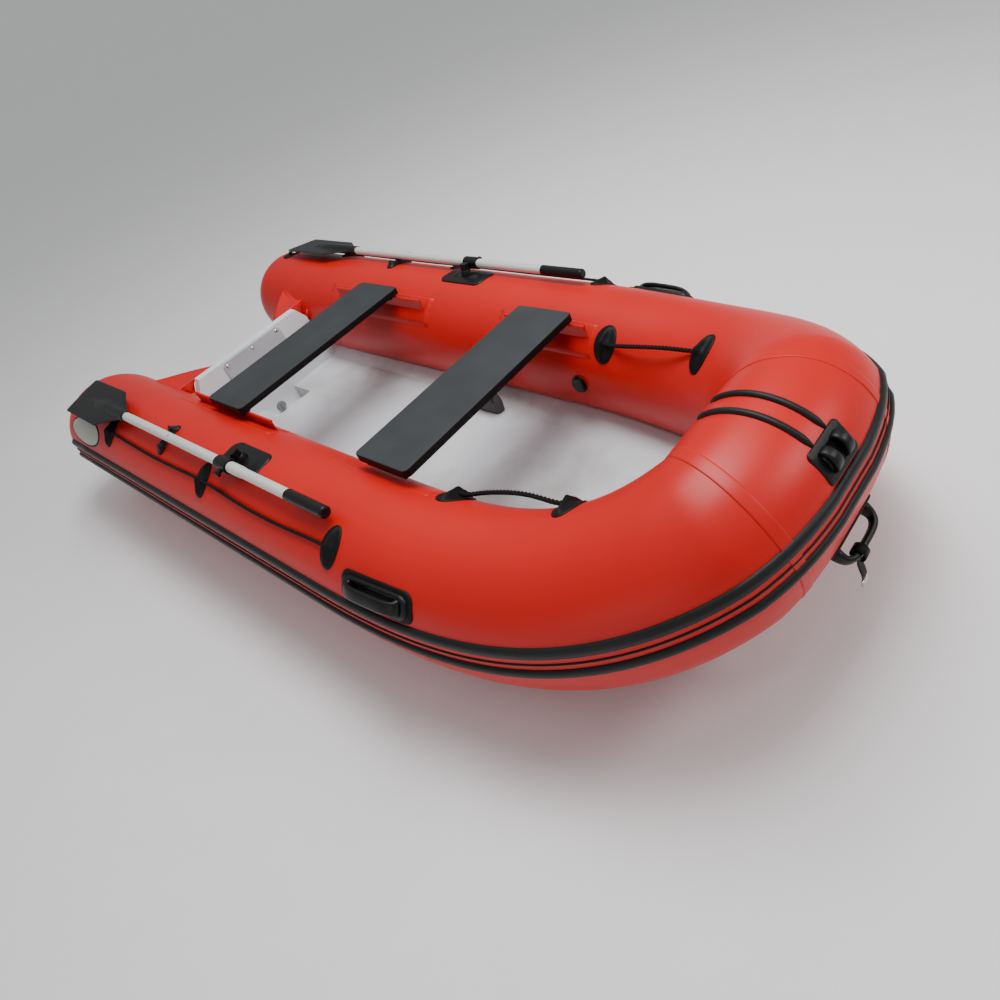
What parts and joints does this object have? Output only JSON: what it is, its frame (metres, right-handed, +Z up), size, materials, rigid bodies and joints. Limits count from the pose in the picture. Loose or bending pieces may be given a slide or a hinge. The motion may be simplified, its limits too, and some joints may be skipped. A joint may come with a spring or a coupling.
{
  "type": "inflatable dinghy",
  "caption": "Inflatable boat with a moulded V hull, a deck, a transom, sliding bench seats, pivoting oars, lifelines, carry handles and a bow fairlead.",
  "frame": {"origin": "under the middle of the boat's bounding box, on the ground the keel stands on", "axes": "+X to the bow along the keel, +Y to port, +Z up"},
  "size_m": [3.2642, 1.4272, 0.6572],
  "materials": {
    "red_fabric": "satin PVC coated fabric",
    "black_fabric": "matt reinforced patch",
    "black_rubber": "satin extruded strip",
    "black_plastic": "moulded, fine grain",
    "dark_board": "fine grain laminate",
    "gelcoat": "satin moulded gelcoat",
    "grey_plastic": "moulded",
    "rope": "twisted black rope",
    "alloy": "drawn tube",
    "steel": "stainless"
  },
  "bodies": {
    "boat": {"tube_starboard": "red_fabric", "tube_port": "red_fabric", "tube_bow": "red_fabric", "stern_cones": "red_fabric", "baffles": "red_fabric", "rubbing_strakes": "black_rubber", "strake_centre_strip": "black_rubber", "bow_wear_strips": "black_rubber", "bow_fairlead": "black_plastic", "handle_pads": "black_fabric", "side_handle_grips": "black_plastic", "bow_handle_grip": "black_plastic", "lifeline_patches": "black_fabric", "grab_line_patches": "black_fabric", "lifeline_rope_starboard": "rope", "lifeline_rope_port": "rope", "grab_rope_starboard": "rope", "grab_rope_port": "rope", "seat_rails": "red_fabric", "hull_shell": "gelcoat", "hull_runners": "black_rubber", "deck_liner": "gelcoat", "transom_board": "gelcoat", "motor_pads": "grey_plastic", "transom_screws": "steel", "transom_gussets": "red_fabric", "drain_socket": "grey_plastic", "valve_seats": "black_plastic", "d_ring_patch_bow": "red_fabric", "d_ring_patch_stern": "black_fabric", "rowlock_base_starboard": "black_plastic", "rowlock_base_port": "black_plastic", "oar_clips": "black_plastic", "pouch": "black_fabric"},
    "thwart_rear": {"thwart_rear": "dark_board", "thwart_slides_rear": "black_plastic"},
    "thwart_front": {"thwart_front": "dark_board", "thwart_slides_front": "black_plastic"},
    "oar_starboard": {"rowlock_pin_starboard": "black_plastic", "oar_collar_starboard": "black_plastic", "oar_shaft_lower_starboard": "alloy", "oar_shaft_upper_starboard": "alloy", "oar_blade_starboard": "black_plastic", "oar_grip_starboard": "black_plastic"},
    "knob_starboard": {"oar_knob_starboard": "black_plastic"},
    "oar_port": {"rowlock_pin_port": "black_plastic", "oar_collar_port": "black_plastic", "oar_shaft_lower_port": "alloy", "oar_shaft_upper_port": "alloy", "oar_blade_port": "black_plastic", "oar_grip_port": "black_plastic"},
    "knob_port": {"oar_knob_port": "black_plastic"},
    "drain_plug": {"drain_plug": "grey_plastic"},
    "valve_cap_port": {"valve_cap_port": "black_plastic"},
    "valve_cap_starboard": {"valve_cap_starboard": "black_plastic"},
    "valve_cap_bow": {"valve_cap_bow": "black_plastic"},
    "d_ring_bow": {"d_ring_bow": "steel"},
    "d_ring_stern": {"d_ring_stern": "steel"},
    "bow_strap": {"bow_strap": "black_fabric", "bow_strap_tip": "steel"}
  },
  "joints": [
    {"name": "rear_thwart_slide", "type": "slide", "parent": "boat", "child": "thwart_rear", "axis": [1, 0, 0], "range_m": [-0.15, 0.12]},
    {"name": "front_thwart_slide", "type": "slide", "parent": "boat", "child": "thwart_front", "axis": [1, 0, 0], "range_m": [-0.06, 0.05]},
    {"name": "starboard_oar_swing", "type": "hinge", "parent": "boat", "child": "oar_starboard", "pos_m": [-0.1321, -0.52045, 0.48973], "axis": [0, -0.2079, 0.9781], "range_deg": [0, 68]},
    {"name": "starboard_collar_screw", "type": "hinge", "parent": "oar_starboard", "child": "knob_starboard", "pos_m": [-0.1321, -0.57, 0.516], "axis": [0, -0.9781, -0.2079], "range_deg": [0, 360]},
    {"name": "port_oar_swing", "type": "hinge", "parent": "boat", "child": "oar_port", "pos_m": [-0.1321, 0.52045, 0.48973], "axis": [0, -0.2079, -0.9781], "range_deg": [0, 68]},
    {"name": "port_collar_screw", "type": "hinge", "parent": "oar_port", "child": "knob_port", "pos_m": [-0.1321, 0.57, 0.516], "axis": [0, 0.9781, -0.2079], "range_deg": [0, 360]},
    {"name": "drain_plug_pull", "type": "slide", "parent": "boat", "child": "drain_plug", "axis": [1, 0, 0], "range_m": [0, 0.045]},
    {"name": "port_valve_cap_pull", "type": "slide", "parent": "boat", "child": "valve_cap_port", "axis": [-0.0398, -0.9968, 0.0698], "range_m": [0, 0.03]},
    {"name": "starboard_valve_cap_pull", "type": "slide", "parent": "boat", "child": "valve_cap_starboard", "axis": [-0.0398, 0.9968, 0.0698], "range_m": [0, 0.03]},
    {"name": "bow_valve_cap_pull", "type": "slide", "parent": "boat", "child": "valve_cap_bow", "axis": [-0.1847, 0.9803, 0.0695], "range_m": [0, 0.03]},
    {"name": "bow_ring_swing", "type": "hinge", "parent": "boat", "child": "d_ring_bow", "pos_m": [1.19403, 0, 0.45047], "axis": [0, 1, 0], "range_deg": [0, 140]},
    {"name": "stern_ring_swing", "type": "hinge", "parent": "boat", "child": "d_ring_stern", "pos_m": [-1.4081, 0.52498, 0.49687], "axis": [1, 0, 0], "range_deg": [0, 140]},
    {"name": "bow_strap_swing", "type": "hinge", "parent": "boat", "child": "bow_strap", "pos_m": [1.61258, -0.03, 0.29429], "axis": [0, 1, 0], "range_deg": [-30, 30]}
  ]
}
